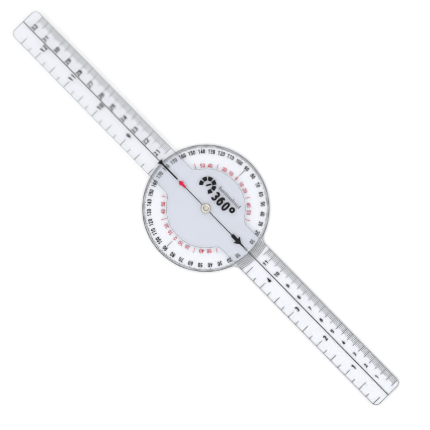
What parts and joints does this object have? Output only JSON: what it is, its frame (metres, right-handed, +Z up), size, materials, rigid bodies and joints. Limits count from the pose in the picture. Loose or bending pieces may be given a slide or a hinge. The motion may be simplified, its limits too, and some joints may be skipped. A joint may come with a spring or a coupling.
{
  "type": "goniometer",
  "caption": "Clear plastic goniometer: a protractor disc with a ruled arm, and another ruled arm that turns on a hollow eyelet, for measuring joint angles.",
  "frame": {"origin": "on the pivot axis, in the plane of the disc's flat underside", "axes": "+Z up out of the printed faces along the pivot, +X along the stationary arm; at rest the moving arm points along -X, so the dial reads 180 degrees"},
  "size_m": [0.3286, 0.08, 0.0033],
  "materials": {
    "clear_sheet": "clear gloss sheet with a faint blue tint",
    "eyelet_metal": "nickel plated, satin",
    "spacer_plastic": "matte",
    "black_ink": "matte screen printed ink",
    "red_ink": "matte screen printed ink"
  },
  "bodies": {
    "stationary": {"stationary_arm": "clear_sheet", "pivot_eyelet": "eyelet_metal", "spacer_washer": "spacer_plastic", "dial_degree_ticks": "black_ink", "dial_quadrant_lines": "black_ink", "dial_red_ticks": "red_ink", "stationary_centre_line": "black_ink", "stationary_cm_ticks": "black_ink", "stationary_inch_ticks": "black_ink"},
    "moving": {"moving_arm": "clear_sheet", "moving_centre_line": "black_ink", "moving_cm_ticks": "black_ink", "moving_inch_ticks": "black_ink", "reading_pointer": "black_ink", "zero_arrow": "black_ink", "red_arrow": "red_ink"}
  },
  "joints": [
    {"name": "arm_pivot", "type": "hinge", "parent": "stationary", "child": "moving", "pos_m": [0, 0, 0.00207], "axis": [0, 0, 1], "continuous": true}
  ]
}
